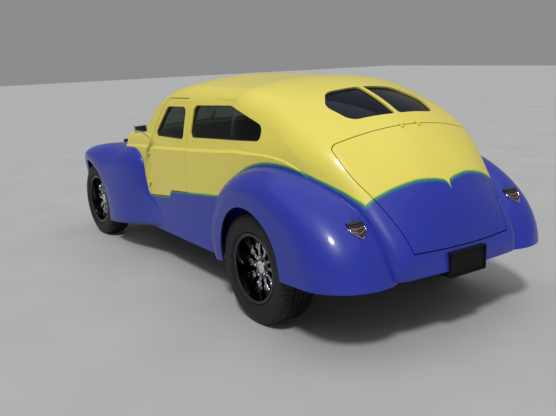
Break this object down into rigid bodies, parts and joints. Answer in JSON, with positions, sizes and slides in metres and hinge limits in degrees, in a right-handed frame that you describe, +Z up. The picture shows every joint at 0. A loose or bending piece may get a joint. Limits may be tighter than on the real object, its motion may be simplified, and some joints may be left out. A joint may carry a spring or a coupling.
{
  "type": "hot rod",
  "caption": "Two-door fastback hot rod with separate fenders, an open engine bay, opening doors and boot lid, steered front wheels and a ladder frame.",
  "frame": {"origin": "on the ground under the middle of the car", "axes": "+X forward, +Y to the left side of the car, +Z up"},
  "size_m": [4.355, 1.865, 1.5173],
  "materials": {
    "paint_yellow": "gloss",
    "paint_blue": "gloss",
    "glass": "gloss",
    "tyre": "matte",
    "chrome": "polished",
    "frame_black": "satin",
    "cast_iron": "satin",
    "aluminium": "satin",
    "steel": "satin",
    "leather": "satin",
    "trim_black": "matte",
    "lens_red": "gloss"
  },
  "bodies": {
    "car": {"body_shell": "paint_yellow", "cowl": "paint_yellow", "skirts": "paint_blue", "fender_rear_left": "paint_blue", "fender_rear_right": "paint_blue", "fender_front_left": "paint_blue", "fender_front_right": "paint_blue", "windshield": "glass", "quarter_glass": "glass", "rear_glass": "glass", "headlamps": "chrome", "lamp_lenses": "glass", "tail_lamps": "lens_red", "plate_box": "paint_blue", "floor_pan": "frame_black", "wheel_tubs": "frame_black", "rear_shelf": "trim_black", "front_cushion": "leather", "front_backrest": "leather", "rear_cushion": "leather", "rear_backrest": "leather", "seat_bases": "trim_black", "dashboard": "trim_black", "steering_wheel": "trim_black", "frame_rail_left": "frame_black", "frame_rail_right": "frame_black", "crossmembers": "frame_black", "engine": "cast_iron", "intake": "aluminium", "headers": "steel", "front_drive": "aluminium", "gearbox": "aluminium", "drive_shaft": "steel", "exhaust": "steel", "fuel_tank": "frame_black", "radiator": "frame_black", "grille_nose": "chrome", "rear_axle": "frame_black", "rear_springs": "frame_black", "front_axle": "frame_black", "front_spring": "frame_black"},
    "door_left": {"door_left": "paint_yellow", "door_glass_left": "glass", "mirror_left": "chrome"},
    "door_right": {"door_right": "paint_yellow", "door_glass_right": "glass", "mirror_right": "chrome"},
    "boot_lid": {"boot_lid": "paint_yellow"},
    "knuckle_left": {"knuckle_left": "steel"},
    "knuckle_right": {"knuckle_right": "steel"},
    "wheel_rear_left": {"tyre_rear_left": "tyre", "rim_rear_left": "chrome"},
    "wheel_rear_right": {"tyre_rear_right": "tyre", "rim_rear_right": "chrome"},
    "wheel_front_left": {"tyre_front_left": "tyre", "rim_front_left": "chrome"},
    "wheel_front_right": {"tyre_front_right": "tyre", "rim_front_right": "chrome"}
  },
  "joints": [
    {"name": "door_left_hinge", "type": "hinge", "parent": "car", "child": "door_left", "pos_m": [0.5095, 0.764, 0.9], "axis": [0, 0, -1], "range_deg": [0, 65]},
    {"name": "door_right_hinge", "type": "hinge", "parent": "car", "child": "door_right", "pos_m": [0.5095, -0.764, 0.9], "axis": [0, 0, 1], "range_deg": [0, 65]},
    {"name": "boot_lid_hinge", "type": "hinge", "parent": "car", "child": "boot_lid", "pos_m": [-1.6805, 0, 1.236], "axis": [0, 1, 0], "range_deg": [0, 60]},
    {"name": "steer_left", "type": "hinge", "parent": "car", "child": "knuckle_left", "pos_m": [1.6525, 0.585, 0.342], "axis": [0, 0, 1], "range_deg": [-28, 28]},
    {"name": "steer_right", "type": "hinge", "parent": "car", "child": "knuckle_right", "pos_m": [1.6525, -0.585, 0.342], "axis": [0, 0, 1], "range_deg": [-28, 28]},
    {"name": "wheel_rear_left_spin", "type": "hinge", "parent": "car", "child": "wheel_rear_left", "pos_m": [-1.1925, 0.735, 0.362], "axis": [0, 1, 0], "continuous": true},
    {"name": "wheel_rear_right_spin", "type": "hinge", "parent": "car", "child": "wheel_rear_right", "pos_m": [-1.1925, -0.735, 0.362], "axis": [0, 1, 0], "continuous": true},
    {"name": "wheel_front_left_spin", "type": "hinge", "parent": "knuckle_left", "child": "wheel_front_left", "pos_m": [1.6525, 0.705, 0.342], "axis": [0, 1, 0], "continuous": true},
    {"name": "wheel_front_right_spin", "type": "hinge", "parent": "knuckle_right", "child": "wheel_front_right", "pos_m": [1.6525, -0.705, 0.342], "axis": [0, 1, 0], "continuous": true}
  ],
  "couplings": [
    {"joint": "steer_right", "follows": "steer_left", "ratio": 1}
  ]
}
